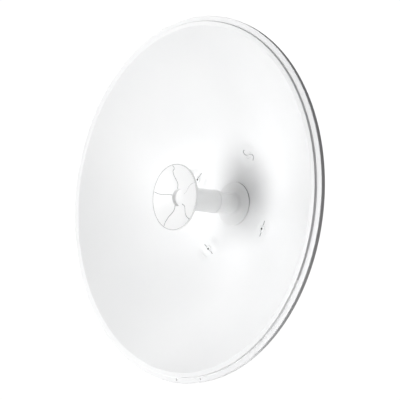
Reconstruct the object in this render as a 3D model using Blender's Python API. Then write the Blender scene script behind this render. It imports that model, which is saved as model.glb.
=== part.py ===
"""Deep microwave dish antenna with a front tube feed, on a tilting bracket with a flat mast plate.

The dish is drawn about its own axis: X to the right and Y up as seen from the front, Z forward along the
beam, with Z = 0 at the front edge of the rim. An empty turns that axis to world -Y and puts the origin on
the flat rear face of the mast plate. Lengths are in metres.
"""
import math

import bmesh
import bpy
from mathutils import Matrix, Vector

# Fits
GAP = 0.0003                # between two pieces that touch
HOLE_CLEARANCE = 0.0004     # between a bolt and the side of its hole
SPIGOT_CLEARANCE = 0.0005   # between the feed seat and the holes it passes through

# Reflector, a spun sheet
RIM_RADIUS = 0.325
RIM_FLANGE = 0.0080         # turned back at the edge
RIM_BEND = 0.0008
LIP_WIDTH = 0.0090          # flat lip outside the step
STEP_WIDTH = 0.0014
STEP_HEIGHT = 0.0033
LAND_WIDTH = 0.0076         # flat land inside the step
LAND_RISE = 0.0002          # how much the land rises inwards
SHEET = 0.002
FOCAL_LENGTH = 0.1485
HUB_HOLE = 0.031
BOWL_RINGS = 8
BOWL_SIDES = 80

# Bolts that hold the reflector, on stamped pads
BOLT_SQUARE = 0.1447        # side of the square of bolts
BOLT_RADIUS = 0.004
BUTTON_RADIUS = 0.0070
BUTTON_HEIGHT = 0.0042
SOCKET_RADIUS = 0.0026
SOCKET_DEPTH = 0.0022
PAD_RADIUS = 0.013
PAD_WALL = 0.002
SPACER_RADIUS = 0.008
BOLT_TAIL = 0.003           # thread showing past each nut

# Drain holes in the lip, low on the rim
DRAIN_RADIUS = 0.0018
DRAIN_ANGLES = (258.8, 269.6)

# Feed
HUB_RING_RADIUS = 0.0424
HUB_RING_HEIGHT = 0.0030
HUB_RING_BEVEL = 0.0006
TUBE_RADIUS = 0.0194
SLEEVE_RADIUS = 0.0218
TUBE_BORE = 0.0175
SLEEVE_END = 0.1083         # behind the front of the rim
COLLAR_RADIUS = 0.0228
COLLAR_WIDTH = 0.007
COLLAR_PLACE = 0.0050       # from the collar to the sleeve's end
COLLAR_BEVEL = 0.0008

# Splash reflector at the focus
CAP_RADIUS = 0.0603
CAP_AHEAD = 0.0088          # from the focus to the front of the cap
CAP_EDGE = 0.0034
CAP_ROUND = 0.0010
CAP_HOLLOW = 0.0100         # depth of the hollow face at the recess
CAP_WALL = 0.0030
RECESS_RADIUS = 0.0155
RECESS_DEPTH = 0.0070
CAP_NECK = 0.0240
PLATE_EDGE_INSET = 0.0030
SPLASH_SHEET = 0.0026

# Plate behind the reflector
BACK_PLATE_SIDE = 0.190
BACK_PLATE_CORNER = 0.022
BACK_PLATE_THICKNESS = 0.003

# Feed body behind the plate
BODY_FLANGE_RADIUS = 0.040
BODY_FLANGE = 0.006
BODY_RADIUS = 0.032
BODY_LENGTH = 0.036
BODY_BEVEL = 0.003
PORT_SPACING = 0.034
PORT_HEX = 0.0062
PORT_HEX_LENGTH = 0.003
PORT_RADIUS = 0.0040
PORT_LENGTH = 0.012
PORT_CAP_WALL = 0.0012
PORT_CAP_LENGTH = 0.0085

# Tilting bracket: two ears on the back plate, outside two ears on the mast plate
EAR_THICKNESS = 0.004
EAR_SPACING = 0.112         # between the inner faces of the outer pair
EAR_HALF_HEIGHT = 0.042
EAR_CORNER = 0.014
EAR_END = 0.030             # past the pivot
PIVOT_REACH = 0.060         # from the back plate to the pivot
MAST_REACH = 0.060          # from the pivot to the mast plate
PIVOT_HEIGHT = 0.022
LOCK_DROP = 0.046           # from the pivot down to the locking bolt
LOCK_SWING = 20.0           # degrees of slot each way
PIVOT_RADIUS = 0.005
PIVOT_HEX = 0.0098
LOCK_RADIUS = 0.004
LOCK_HEX = 0.0075
HEAD_HEIGHT = 0.0060
NUT_HEIGHT = 0.0068

# Mast plate
MAST_PLATE_WIDTH = 0.150
MAST_PLATE_HEIGHT = 0.170
MAST_PLATE_CORNER = 0.012
MAST_PLATE_THICKNESS = 0.005
SLOT_SPACING_X = 0.104
SLOT_SPACING_Y = 0.124
SLOT_LENGTH = 0.026
SLOT_WIDTH = 0.0105

# Sides of the smaller round pieces
RING_SIDES = 48
TUBE_SIDES = 32
BOLT_SIDES = 16


# Places along the beam axis, from front to back
LAND_OUTER = RIM_RADIUS - LIP_WIDTH - STEP_WIDTH
LAND_INNER = LAND_OUTER - LAND_WIDTH
BOWL_EDGE = STEP_HEIGHT + LAND_RISE
VERTEX = BOWL_EDGE - LAND_INNER ** 2 / (4 * FOCAL_LENGTH)
FOCUS = VERTEX + FOCAL_LENGTH
CAP_FRONT = FOCUS + CAP_AHEAD
BOLT_CIRCLE = BOLT_SQUARE / math.sqrt(2)


def bowl(radius):
    """Place of the bowl's front surface at a radius."""
    return VERTEX + radius ** 2 / (4 * FOCAL_LENGTH)


def bowl_slope(radius):
    return radius / (2 * FOCAL_LENGTH)


def bowl_back(radius):
    """Place of the bowl's rear surface, the sheet's thickness behind the front one."""
    return bowl(radius) - SHEET * math.sqrt(1 + bowl_slope(radius) ** 2)


PLATE_FRONT = bowl_back(HUB_HOLE) - GAP
PLATE_BACK = PLATE_FRONT - BACK_PLATE_THICKNESS
PIVOT = PLATE_BACK - PIVOT_REACH
MAST_FRONT = PIVOT - MAST_REACH
MAST_BACK = MAST_FRONT - MAST_PLATE_THICKNESS
PAD_FACE = bowl(BOLT_CIRCLE)
PAD_BACK = bowl_back(BOLT_CIRCLE - PAD_RADIUS)


def clear_scene():
    for obj in list(bpy.data.objects):
        bpy.data.objects.remove(obj, do_unlink=True)


def material(name, colour, roughness, metallic):
    made = bpy.data.materials.new(name)
    made.use_nodes = True
    shader = made.node_tree.nodes["Principled BSDF"]
    shader.inputs["Base Color"].default_value = (*colour, 1.0)
    shader.inputs["Roughness"].default_value = roughness
    shader.inputs["Metallic"].default_value = metallic
    return made


def finish(mesh, name, look, frame, smooth=True):
    """Make the object of a sub-part from its bmesh and hang it on the dish's frame."""
    data = bpy.data.meshes.new(name)
    mesh.to_mesh(data)
    mesh.free()
    if smooth:
        data.shade_smooth()
        data.set_sharp_from_angle(angle=math.radians(32))
    data.materials.append(look)
    obj = bpy.data.objects.new(name, data)
    bpy.context.collection.objects.link(obj)
    obj.parent = frame
    return obj


def turned(outline, sides):
    """Spin a closed outline of (radius, place) points about the Z axis."""
    mesh = bmesh.new()
    corners = [mesh.verts.new((radius, 0, place)) for radius, place in outline]
    edges = [mesh.edges.new((a, b)) for a, b in zip(corners, corners[1:] + corners[:1])]
    bmesh.ops.spin(mesh, geom=corners + edges, axis=(0, 0, 1), cent=(0, 0, 0),
                   angle=2 * math.pi, steps=sides, use_merge=True)
    bmesh.ops.remove_doubles(mesh, verts=mesh.verts[:], dist=1e-6)
    wires = [edge for edge in mesh.edges if not edge.link_faces]
    bmesh.ops.delete(mesh, geom=wires, context="EDGES")
    bmesh.ops.recalc_face_normals(mesh, faces=mesh.faces[:])
    return mesh


def prism(outline, start, end):
    """Extrude a flat outline of (x, y) points along Z."""
    mesh = bmesh.new()
    face = mesh.faces.new([mesh.verts.new((x, y, start)) for x, y in outline])
    grown = bmesh.ops.extrude_face_region(mesh, geom=[face])["geom"]
    corners = [item for item in grown if isinstance(item, bmesh.types.BMVert)]
    bmesh.ops.translate(mesh, verts=corners, vec=(0, 0, end - start))
    bmesh.ops.recalc_face_normals(mesh, faces=mesh.faces[:])
    return mesh


def circle(radius, sides, centre=(0.0, 0.0), start=0.0):
    angles = [start + 2 * math.pi * i / sides for i in range(sides)]
    return [(centre[0] + radius * math.cos(a), centre[1] + radius * math.sin(a)) for a in angles]


def rounded_rectangle(width, height, corner, steps=4):
    """Outline of a rectangle about the origin with round corners."""
    points = []
    for quarter, (side_x, side_y) in enumerate(((1, 1), (-1, 1), (-1, -1), (1, -1))):
        for step in range(steps + 1):
            angle = math.radians(90 * quarter + 90 * step / steps)
            points.append((side_x * (width / 2 - corner) + corner * math.cos(angle),
                           side_y * (height / 2 - corner) + corner * math.sin(angle)))
    return points


def arc_slot(centre, radius, swing, half_width, steps=6):
    """Outline of a curved slot below a centre, with round ends."""
    middle = -math.pi / 2

    def at(angle, distance):
        return Vector((centre[0] + distance * math.cos(angle), centre[1] + distance * math.sin(angle)))

    outer = [at(middle - swing + 2 * swing * i / steps, radius + half_width) for i in range(steps + 1)]
    inner = [at(middle + swing - 2 * swing * i / steps, radius - half_width) for i in range(steps + 1)]
    far_end = at(middle + swing, radius)
    near_end = at(middle - swing, radius)
    far_cap = round_end(far_end, outer[-1], half_width)
    near_cap = round_end(near_end, inner[-1], half_width)
    return [tuple(point) for point in outer + far_cap + inner + near_cap]


def round_end(centre, first, radius, steps=4):
    """Points between the ends of a half circle that starts at first and runs anticlockwise."""
    begin = math.atan2(first.y - centre.y, first.x - centre.x)
    angles = [begin + math.pi * i / steps for i in range(1, steps)]
    return [centre + Vector((radius * math.cos(a), radius * math.sin(a))) for a in angles]


def moved(mesh, matrix):
    bmesh.ops.transform(mesh, matrix=matrix, verts=mesh.verts[:])
    bmesh.ops.recalc_face_normals(mesh, faces=mesh.faces[:])
    return mesh


def merged(meshes):
    """Put several separate bodies into one bmesh."""
    whole = bmesh.new()
    for mesh in meshes:
        data = bpy.data.meshes.new("loose")
        mesh.to_mesh(data)
        mesh.free()
        whole.from_mesh(data)
        bpy.data.meshes.remove(data)
    return whole


def carve(obj, tool, operation):
    """Join a tool mesh to an object, or cut it away, and keep the result as the object's mesh."""
    data = bpy.data.meshes.new("tool")
    tool.to_mesh(data)
    tool.free()
    cutter = bpy.data.objects.new("tool", data)
    cutter.parent = obj.parent
    cutter.hide_render = True
    cutter.display_type = "WIRE"
    bpy.context.collection.objects.link(cutter)
    cut = obj.modifiers.new(operation.lower(), "BOOLEAN")
    cut.operation = operation
    cut.solver = "EXACT"
    cut.object = cutter
    bpy.context.view_layer.update()
    shaped = bpy.data.meshes.new_from_object(obj.evaluated_get(bpy.context.evaluated_depsgraph_get()))
    obj.modifiers.clear()
    old = obj.data
    obj.data = shaped
    shaped.name = obj.name
    bpy.data.objects.remove(cutter)
    bpy.data.meshes.remove(data)
    bpy.data.meshes.remove(old)


def along_x(mesh, start):
    """Turn a mesh built along Z so that it points along X from start; its X becomes Z and its Y stays Y."""
    turn = Matrix(((0, 0, 1, start), (0, 1, 0, 0), (1, 0, 0, 0), (0, 0, 0, 1)))
    return moved(mesh, turn)


def bolt_places():
    half = BOLT_SQUARE / 2
    return [(half, half), (-half, half), (-half, -half), (half, -half)]


def reflector_outline():
    ring_radii = [HUB_HOLE, HUB_RING_RADIUS]
    step = (LAND_INNER - HUB_RING_RADIUS) / BOWL_RINGS
    ring_radii += [HUB_RING_RADIUS + step * i for i in range(1, BOWL_RINGS + 1)]
    front = [(radius, bowl(radius)) for radius in ring_radii]
    back = [(radius, bowl_back(radius)) for radius in ring_radii[:-1]]
    lip_inner = RIM_RADIUS - LIP_WIDTH
    rim = [
        (LAND_OUTER, STEP_HEIGHT),
        (lip_inner, 0.0),
        (RIM_RADIUS - RIM_BEND, 0.0),
        (RIM_RADIUS, -RIM_BEND),
        (RIM_RADIUS, -RIM_FLANGE),
        (RIM_RADIUS - SHEET, -RIM_FLANGE),
        (RIM_RADIUS - SHEET, -SHEET),
        (lip_inner - STEP_WIDTH, -SHEET),
        (LAND_OUTER - STEP_WIDTH, STEP_HEIGHT - SHEET),
        (LAND_INNER + SHEET / 2, BOWL_EDGE - SHEET),
    ]
    return front + rim + back[::-1]


def pad_block(place):
    """Metal behind a bolt's pad, cut to the slope of the bowl halfway through the sheet."""
    top = PAD_FACE + (PAD_RADIUS + PAD_WALL) * bowl_slope(BOLT_CIRCLE) + SHEET
    block = prism(circle(PAD_RADIUS + PAD_WALL, BOLT_SIDES * 2, place), PAD_BACK, top)
    outwards = Vector((place[0], place[1], 0)).normalized()
    normal = Vector((0, 0, 1)) - outwards * bowl_slope(BOLT_CIRCLE)
    middle = Vector((place[0], place[1], PAD_FACE - SHEET / 2))
    everything = block.verts[:] + block.edges[:] + block.faces[:]
    bmesh.ops.bisect_plane(block, geom=everything, plane_co=middle, plane_no=normal, clear_outer=True)
    open_edges = [edge for edge in block.edges if len(edge.link_faces) == 1]
    bmesh.ops.holes_fill(block, edges=open_edges, sides=0)
    bmesh.ops.recalc_face_normals(block, faces=block.faces[:])
    return block


def make_reflector(look, frame):
    """Spun bowl with a flat lip and a turned flange, four stamped bolt pads and two drain holes."""
    obj = finish(turned(reflector_outline(), BOWL_SIDES), "reflector", look, frame)
    over_pad = PAD_FACE + PAD_RADIUS * bowl_slope(BOLT_CIRCLE) + 2 * SHEET
    places = bolt_places()
    carve(obj, merged([pad_block(place) for place in places]), "UNION")
    stud_top = PAD_FACE + SHEET
    studs = [prism(circle(PAD_RADIUS, BOLT_SIDES * 2, p), PAD_BACK + SHEET / 2, stud_top) for p in places]
    carve(obj, merged(studs), "UNION")
    pocket = PAD_RADIUS + GAP
    pockets = [prism(circle(pocket, BOLT_SIDES * 2, p), PAD_FACE, over_pad) for p in places]
    carve(obj, merged(pockets), "DIFFERENCE")
    hole = BOLT_RADIUS + HOLE_CLEARANCE
    holes = [prism(circle(hole, BOLT_SIDES, p), PAD_BACK - SHEET, over_pad) for p in places]
    middle_of_lip = RIM_RADIUS - LIP_WIDTH / 2
    for degrees in DRAIN_ANGLES:
        angle = math.radians(degrees)
        place = (middle_of_lip * math.cos(angle), middle_of_lip * math.sin(angle))
        holes.append(prism(circle(DRAIN_RADIUS, BOLT_SIDES // 2, place), -2 * SHEET, SHEET))
    carve(obj, merged(holes), "DIFFERENCE")
    return obj


def make_hub_ring(look, frame):
    """Flanged seat that clamps the reflector at its middle and holds the feed tube."""
    bore = TUBE_RADIUS + GAP
    top = bowl(HUB_RING_RADIUS) + HUB_RING_HEIGHT
    spigot = HUB_HOLE - SPIGOT_CLEARANCE
    outline = [
        (bore, top),
        (HUB_RING_RADIUS - HUB_RING_BEVEL, top),
        (HUB_RING_RADIUS, top - HUB_RING_BEVEL),
        (HUB_RING_RADIUS, bowl(HUB_RING_RADIUS) + GAP),
        (spigot, bowl(HUB_HOLE) + GAP),
        (spigot, PLATE_BACK),
        (bore, PLATE_BACK),
    ]
    return finish(turned(outline, RING_SIDES), "hub_ring", look, frame)


def make_feed(look, frame):
    """Straight feed: a tube from the feed body to the step, and a wider sleeve from there to the plate."""
    tube = [
        (TUBE_BORE, -SLEEVE_END - GAP),
        (TUBE_RADIUS, -SLEEVE_END - GAP),
        (TUBE_RADIUS, PLATE_BACK),
        (TUBE_BORE, PLATE_BACK),
    ]
    finish(turned(tube, TUBE_SIDES), "feed_tube", look, frame)
    collar_back = -SLEEVE_END + COLLAR_PLACE
    collar_front = collar_back + COLLAR_WIDTH
    sleeve = [
        (TUBE_BORE, splash_back() - GAP),
        (SLEEVE_RADIUS, splash_back() - GAP),
        (SLEEVE_RADIUS, collar_front),
        (COLLAR_RADIUS, collar_front - COLLAR_BEVEL),
        (COLLAR_RADIUS, collar_back + COLLAR_BEVEL),
        (SLEEVE_RADIUS, collar_back),
        (SLEEVE_RADIUS, -SLEEVE_END),
        (TUBE_BORE, -SLEEVE_END),
    ]
    finish(turned(sleeve, TUBE_SIDES), "feed_sleeve", look, frame)


def cap_face(radius):
    """Place of the cap's hollow front face at a radius."""
    share = (radius - RECESS_RADIUS) / (CAP_RADIUS - CAP_ROUND - RECESS_RADIUS)
    return CAP_FRONT - CAP_HOLLOW * (1 - share ** 1.25)


def cap_floor():
    return CAP_FRONT - CAP_HOLLOW - RECESS_DEPTH


def cap_back():
    return cap_floor() - CAP_WALL


def splash_back():
    return cap_back() - GAP - SPLASH_SHEET


def make_splash_cap(look, frame):
    """Moulded cover with a hollow face and a round recess in its middle."""
    rings = 4
    face = [RECESS_RADIUS + (CAP_RADIUS - CAP_ROUND - RECESS_RADIUS) * i / rings for i in range(rings + 1)]
    outline = [(0.0, cap_floor()), (RECESS_RADIUS - CAP_ROUND, cap_floor())]
    outline += [(radius, cap_face(radius)) for radius in face]
    outline += [
        (CAP_RADIUS, CAP_FRONT - CAP_ROUND),
        (CAP_RADIUS, CAP_FRONT - CAP_EDGE),
        (CAP_RADIUS - PLATE_EDGE_INSET, CAP_FRONT - CAP_EDGE),
        (CAP_NECK, cap_back()),
        (0.0, cap_back()),
    ]
    return finish(turned(outline, RING_SIDES), "splash_cap", look, frame)


def make_splash_plate(look, frame):
    """Dished metal disc behind the cap, which throws the signal back at the bowl."""
    edge = CAP_RADIUS - PLATE_EDGE_INSET
    edge_front = CAP_FRONT - CAP_EDGE - GAP
    slope = (CAP_FRONT - CAP_EDGE - cap_back()) / (edge - CAP_NECK)
    lean = GAP * slope
    outline = [
        (0.0, cap_back() - GAP),
        (CAP_NECK + lean, cap_back() - GAP),
        (edge + lean, edge_front),
        (edge + lean, edge_front - SPLASH_SHEET),
        (CAP_NECK + lean, splash_back()),
        (0.0, splash_back()),
    ]
    return finish(turned(outline, RING_SIDES), "splash_plate", look, frame)


def button_bolt():
    """Button-headed bolt along Z, with its seat at Z = 0 and its thread behind."""
    end = PLATE_BACK - GAP - NUT_HEIGHT - BOLT_TAIL - (PAD_FACE + GAP)
    socket_floor = BUTTON_HEIGHT - SOCKET_DEPTH
    outline = [
        (0.0, socket_floor),
        (SOCKET_RADIUS, socket_floor),
        (SOCKET_RADIUS, BUTTON_HEIGHT),
        (BUTTON_RADIUS * 0.62, BUTTON_HEIGHT * 0.88),
        (BUTTON_RADIUS * 0.90, BUTTON_HEIGHT * 0.50),
        (BUTTON_RADIUS, 0.0),
        (BOLT_RADIUS, 0.0),
        (BOLT_RADIUS, end),
        (0.0, end),
    ]
    return turned(outline, BOLT_SIDES)


def hex_nut(width, bore, height):
    """Hexagonal nut along Z from 0 to its height, bored through."""
    mesh = bmesh.new()
    levels = []
    for place in (0.0, height):
        outer = [mesh.verts.new((x, y, place)) for x, y in circle(width, 6)]
        inner = [mesh.verts.new((x, y, place)) for x, y in circle(bore, BOLT_SIDES)]
        rims = []
        for loop in (outer, inner):
            rims.append([mesh.edges.new((a, b)) for a, b in zip(loop, loop[1:] + loop[:1])])
        bmesh.ops.bridge_loops(mesh, edges=rims[0] + rims[1])
        levels.append(rims)
    for first, second in zip(*levels):
        bmesh.ops.bridge_loops(mesh, edges=first + second)
    bmesh.ops.recalc_face_normals(mesh, faces=mesh.faces[:])
    return mesh


def make_dish_fasteners(look, frame):
    """At each corner of the bolt square: a button bolt, a spacer to the plate and a nut behind it."""
    hole = BOLT_RADIUS + HOLE_CLEARANCE
    spacer = [
        (hole, PAD_BACK - GAP),
        (SPACER_RADIUS, PAD_BACK - GAP),
        (SPACER_RADIUS, PLATE_FRONT + GAP),
        (hole, PLATE_FRONT + GAP),
    ]
    nut_back = PLATE_BACK - GAP - NUT_HEIGHT
    for number, (x, y) in enumerate(bolt_places(), start=1):
        bolt = moved(button_bolt(), Matrix.Translation((x, y, PAD_FACE + GAP)))
        finish(bolt, f"dish_bolt_{number}", look, frame)
        ring = moved(turned(spacer, BOLT_SIDES), Matrix.Translation((x, y, 0)))
        finish(ring, f"dish_spacer_{number}", look, frame)
        nut = moved(hex_nut(LOCK_HEX, BOLT_RADIUS + GAP, NUT_HEIGHT), Matrix.Translation((x, y, nut_back)))
        finish(nut, f"dish_nut_{number}", look, frame, False)


def make_back_plate(look, frame):
    """Square steel plate behind the reflector, bored for the feed seat and the four bolts."""
    outline = rounded_rectangle(BACK_PLATE_SIDE, BACK_PLATE_SIDE, BACK_PLATE_CORNER)
    obj = finish(prism(outline, PLATE_BACK, PLATE_FRONT), "back_plate", look, frame, False)
    through = (PLATE_BACK - SHEET, PLATE_FRONT + SHEET)
    holes = [prism(circle(HUB_HOLE, RING_SIDES), *through)]
    bolt_hole = BOLT_RADIUS + HOLE_CLEARANCE
    holes += [prism(circle(bolt_hole, BOLT_SIDES, place), *through) for place in bolt_places()]
    carve(obj, merged(holes), "DIFFERENCE")
    return obj


def make_feed_body(look, port_look, cap_look, frame):
    """Cast body behind the plate that closes the feed, with two capped signal ports on its rear face."""
    front = PLATE_BACK - GAP
    back = front - BODY_FLANGE - BODY_LENGTH
    outline = [
        (0.0, front),
        (BODY_FLANGE_RADIUS, front),
        (BODY_FLANGE_RADIUS, front - BODY_FLANGE),
        (BODY_RADIUS, front - BODY_FLANGE),
        (BODY_RADIUS, back + BODY_BEVEL),
        (BODY_RADIUS - BODY_BEVEL, back),
        (0.0, back),
    ]
    finish(turned(outline, RING_SIDES), "feed_body", look, frame)
    port_front = back - GAP
    port_back = port_front - PORT_HEX_LENGTH - PORT_LENGTH
    port = [
        (0.0, port_front),
        (PORT_HEX, port_front),
        (PORT_HEX, port_front - PORT_HEX_LENGTH),
        (PORT_RADIUS, port_front - PORT_HEX_LENGTH),
        (PORT_RADIUS, port_back),
        (0.0, port_back),
    ]
    cap_inner = port_back - GAP
    cap_outer = PORT_RADIUS + GAP + PORT_CAP_WALL
    cap = [
        (0.0, cap_inner),
        (PORT_RADIUS + GAP, cap_inner),
        (PORT_RADIUS + GAP, cap_inner + PORT_CAP_LENGTH),
        (cap_outer, cap_inner + PORT_CAP_LENGTH),
        (cap_outer, cap_inner - PORT_CAP_WALL),
        (0.0, cap_inner - PORT_CAP_WALL),
    ]
    for side, place in (("left", -PORT_SPACING / 2), ("right", PORT_SPACING / 2)):
        shift = Matrix.Translation((place, 0, 0))
        finish(moved(turned(port, BOLT_SIDES), shift), f"signal_port_{side}", port_look, frame)
        finish(moved(turned(cap, BOLT_SIDES), shift), f"port_cap_{side}", cap_look, frame)


def ear_outline(root, tip):
    """Side view of an ear as (z, y) points: straight at its root and with round corners at its tip."""
    way = 1 if tip > root else -1
    centre = tip - way * EAR_CORNER
    points = [(root, -EAR_HALF_HEIGHT)]
    for step in range(5):
        angle = math.radians(-90 + 22.5 * step)
        points.append((centre + way * EAR_CORNER * math.cos(angle),
                       -EAR_HALF_HEIGHT + EAR_CORNER + EAR_CORNER * math.sin(angle)))
    for step in range(5):
        angle = math.radians(22.5 * step)
        points.append((centre + way * EAR_CORNER * math.cos(angle),
                       EAR_HALF_HEIGHT - EAR_CORNER + EAR_CORNER * math.sin(angle)))
    points.append((root, EAR_HALF_HEIGHT))
    return points


def make_ears(look, frame):
    """Outer ears on the back plate carry the curved slot; inner ears on the mast plate carry round holes."""
    pivot = (PIVOT, PIVOT_HEIGHT)
    lock = (PIVOT, PIVOT_HEIGHT - LOCK_DROP)
    pivot_hole = circle(PIVOT_RADIUS + HOLE_CLEARANCE, BOLT_SIDES, pivot)
    lock_hole = circle(LOCK_RADIUS + HOLE_CLEARANCE, BOLT_SIDES, lock)
    slot = arc_slot(pivot, LOCK_DROP, math.radians(LOCK_SWING), LOCK_RADIUS + HOLE_CLEARANCE)
    outer = ear_outline(PLATE_BACK - GAP, PIVOT - EAR_END)
    inner = ear_outline(MAST_FRONT + GAP, PIVOT + EAR_END)
    outer_start = EAR_SPACING / 2
    inner_start = outer_start - GAP - EAR_THICKNESS
    for side, sign in (("left", -1), ("right", 1)):
        for name, outline, cuts, start in (
            ("dish_ear", outer, (pivot_hole, slot), outer_start),
            ("mast_ear", inner, (pivot_hole, lock_hole), inner_start),
        ):
            low = start if sign > 0 else -start - EAR_THICKNESS
            ear = along_x(prism(outline, 0, EAR_THICKNESS), low)
            obj = finish(ear, f"{name}_{side}", look, frame, False)
            margin = EAR_THICKNESS / 2
            holes = [along_x(prism(cut, -margin, EAR_THICKNESS + margin), low) for cut in cuts]
            carve(obj, merged(holes), "DIFFERENCE")


def hex_bolt(hexagon, radius, grip):
    """Hexagon-headed bolt along Z: its head from 0 up, its shank down through the grip, nut and tail."""
    end = -(grip + NUT_HEIGHT + BOLT_TAIL)
    mesh = prism(circle(hexagon, 6), 0, HEAD_HEIGHT)
    bottom = min(mesh.faces, key=lambda face: face.calc_center_median().z)
    corners = [mesh.verts.new((x, y, 0)) for x, y in circle(radius, BOLT_SIDES)]
    neck = [mesh.edges.new((a, b)) for a, b in zip(corners, corners[1:] + corners[:1])]
    rim = bottom.edges[:]
    bmesh.ops.delete(mesh, geom=[bottom], context="FACES_ONLY")
    bmesh.ops.bridge_loops(mesh, edges=rim + neck)
    grown = bmesh.ops.extrude_edge_only(mesh, edges=neck)["geom"]
    tip = [item for item in grown if isinstance(item, bmesh.types.BMVert)]
    bmesh.ops.translate(mesh, verts=tip, vec=(0, 0, end))
    bmesh.ops.holes_fill(mesh, edges=[edge for edge in mesh.edges if edge.is_boundary], sides=0)
    bmesh.ops.recalc_face_normals(mesh, faces=mesh.faces[:])
    return mesh


def make_bracket_fasteners(look, frame):
    """On each side: a pivot bolt and a locking bolt from outside, with their nuts inside the inner ear."""
    outer_face = EAR_SPACING / 2 + EAR_THICKNESS
    grip = 2 * EAR_THICKNESS + 3 * GAP
    heights = {
        "pivot": (PIVOT_HEIGHT, PIVOT_HEX, PIVOT_RADIUS),
        "lock": (PIVOT_HEIGHT - LOCK_DROP, LOCK_HEX, LOCK_RADIUS),
    }
    nut_inner = outer_face - 2 * EAR_THICKNESS - 2 * GAP - NUT_HEIGHT
    for use, (height, hexagon, radius) in heights.items():
        for side, sign in (("left", -1), ("right", 1)):
            turn = Matrix.Rotation(sign * math.pi / 2, 4, "Y")
            place = Matrix.Translation((sign * (outer_face + GAP), height, PIVOT)) @ turn
            finish(moved(hex_bolt(hexagon, radius, grip), place), f"{use}_bolt_{side}", look, frame, False)
            seat = Matrix.Translation((sign * nut_inner, height, PIVOT)) @ turn
            nut = moved(hex_nut(hexagon, radius + GAP, NUT_HEIGHT), seat)
            finish(nut, f"{use}_nut_{side}", look, frame, False)


def make_mast_plate(look, frame):
    """Flat plate that bolts to the mast or wall through four level slots."""
    outline = rounded_rectangle(MAST_PLATE_WIDTH, MAST_PLATE_HEIGHT, MAST_PLATE_CORNER)
    obj = finish(prism(outline, MAST_BACK, MAST_FRONT), "mast_plate", look, frame, False)
    slots = []
    for side_x in (-1, 1):
        for side_y in (-1, 1):
            slot = rounded_rectangle(SLOT_LENGTH, SLOT_WIDTH, SLOT_WIDTH / 2 - GAP)
            shift = (side_x * SLOT_SPACING_X / 2, side_y * SLOT_SPACING_Y / 2)
            slot = [(x + shift[0], y + shift[1]) for x, y in slot]
            slots.append(prism(slot, MAST_BACK - SHEET, MAST_FRONT + SHEET))
    carve(obj, merged(slots), "DIFFERENCE")
    return obj


def build():
    clear_scene()
    frame = bpy.data.objects.new("beam_axis", None)
    bpy.context.collection.objects.link(frame)
    frame.location = (0, MAST_BACK, 0)
    frame.rotation_euler = (math.pi / 2, 0, 0)
    bpy.context.view_layer.update()

    white_paint = material("white_paint", (0.86, 0.87, 0.88), 0.32, 0.0)
    white_plastic = material("white_plastic", (0.88, 0.88, 0.88), 0.38, 0.0)
    bare_aluminium = material("bare_aluminium", (0.70, 0.71, 0.72), 0.38, 1.0)
    zinc_steel = material("zinc_steel", (0.60, 0.61, 0.62), 0.42, 1.0)
    nickel_brass = material("nickel_brass", (0.72, 0.62, 0.36), 0.30, 1.0)
    black_plastic = material("black_plastic", (0.03, 0.03, 0.03), 0.50, 0.0)

    make_reflector(white_paint, frame)
    make_hub_ring(white_plastic, frame)
    make_feed(white_plastic, frame)
    make_splash_cap(white_plastic, frame)
    make_splash_plate(bare_aluminium, frame)
    make_dish_fasteners(zinc_steel, frame)
    make_back_plate(zinc_steel, frame)
    make_feed_body(bare_aluminium, nickel_brass, black_plastic, frame)
    make_ears(zinc_steel, frame)
    make_bracket_fasteners(zinc_steel, frame)
    make_mast_plate(zinc_steel, frame)


build()
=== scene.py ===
"""Studio picture of a deep microwave dish antenna with a front tube feed, in metres, +Z up.

The beam points along -Y. Each piece is drawn about the beam axis, where X = 0 and Z = 0, and its depths are
measured backwards from a front plane that lies 0.7 mm ahead of the rim's lip.
"""
import math

import bpy
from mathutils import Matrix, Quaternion, Vector


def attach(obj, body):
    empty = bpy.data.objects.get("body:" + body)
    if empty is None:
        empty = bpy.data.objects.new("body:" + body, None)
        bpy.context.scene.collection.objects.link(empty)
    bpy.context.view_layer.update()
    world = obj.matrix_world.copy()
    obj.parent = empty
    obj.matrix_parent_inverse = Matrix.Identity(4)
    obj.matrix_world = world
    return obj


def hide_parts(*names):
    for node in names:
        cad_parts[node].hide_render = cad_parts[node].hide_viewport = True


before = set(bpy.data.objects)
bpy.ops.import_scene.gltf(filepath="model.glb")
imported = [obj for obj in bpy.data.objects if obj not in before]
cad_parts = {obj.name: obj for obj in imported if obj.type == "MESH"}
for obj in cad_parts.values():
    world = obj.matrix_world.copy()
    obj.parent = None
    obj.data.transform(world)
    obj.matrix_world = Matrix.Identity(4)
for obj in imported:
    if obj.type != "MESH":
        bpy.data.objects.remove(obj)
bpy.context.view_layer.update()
scene = bpy.context.scene

# Camera: it stands to the dish's right, a little below it, and is rolled slightly. Its place, aim and lens
# come from a perspective fit of the rim, the splash disc, the seat ring and the four bolts.
camera_place = Vector((0.86537, -1.08303, -0.34829))
camera_aim = Vector((-0.68154, 0.67852, 0.27407))
camera_roll = math.radians(-8.91)
camera_data = bpy.data.cameras.new("camera")
camera_data.sensor_width = 36.0
camera_data.lens = 61.54
camera = bpy.data.objects.new("camera", camera_data)
camera.location = camera_place
camera.rotation_mode = "QUATERNION"
camera.rotation_quaternion = camera_aim.to_track_quat("-Z", "Y") @ Quaternion((0, 0, 1), camera_roll)
scene.collection.objects.link(camera)
scene.camera = camera

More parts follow.
